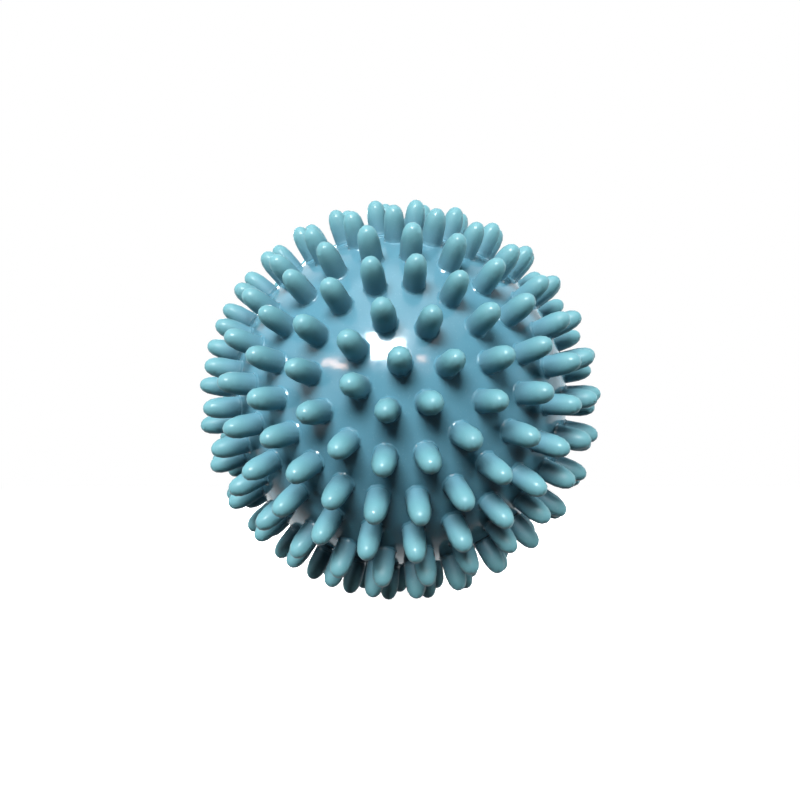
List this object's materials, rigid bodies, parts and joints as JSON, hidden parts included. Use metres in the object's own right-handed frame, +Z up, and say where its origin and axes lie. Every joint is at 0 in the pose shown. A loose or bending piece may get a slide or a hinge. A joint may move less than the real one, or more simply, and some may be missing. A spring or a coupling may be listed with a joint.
{
  "type": "massage ball",
  "caption": "Hollow soft vinyl massage ball covered all over in rounded knobs, with an air valve and a pull-out plug",
  "frame": {"origin": "centre of the ball, which is the middle of its bounding box", "axes": "+Z up; +Y along the valve's axis, out of the valve; the first knob of the pattern points along -Y"},
  "size_m": [0.0896, 0.089, 0.0896],
  "materials": {
    "vinyl": "glossy soft vinyl, teal",
    "sleeve_vinyl": "satin vinyl, a darker teal",
    "plug_vinyl": "satin off-white vinyl"
  },
  "bodies": {
    "ball": {"ball_shell": "vinyl", "valve_sleeve": "sleeve_vinyl"},
    "plug": {"valve_plug": "plug_vinyl"}
  },
  "joints": [
    {"name": "plug_pull", "type": "slide", "parent": "ball", "child": "plug", "axis": [0, 1, 0], "range_m": [0, 0.012]}
  ]
}
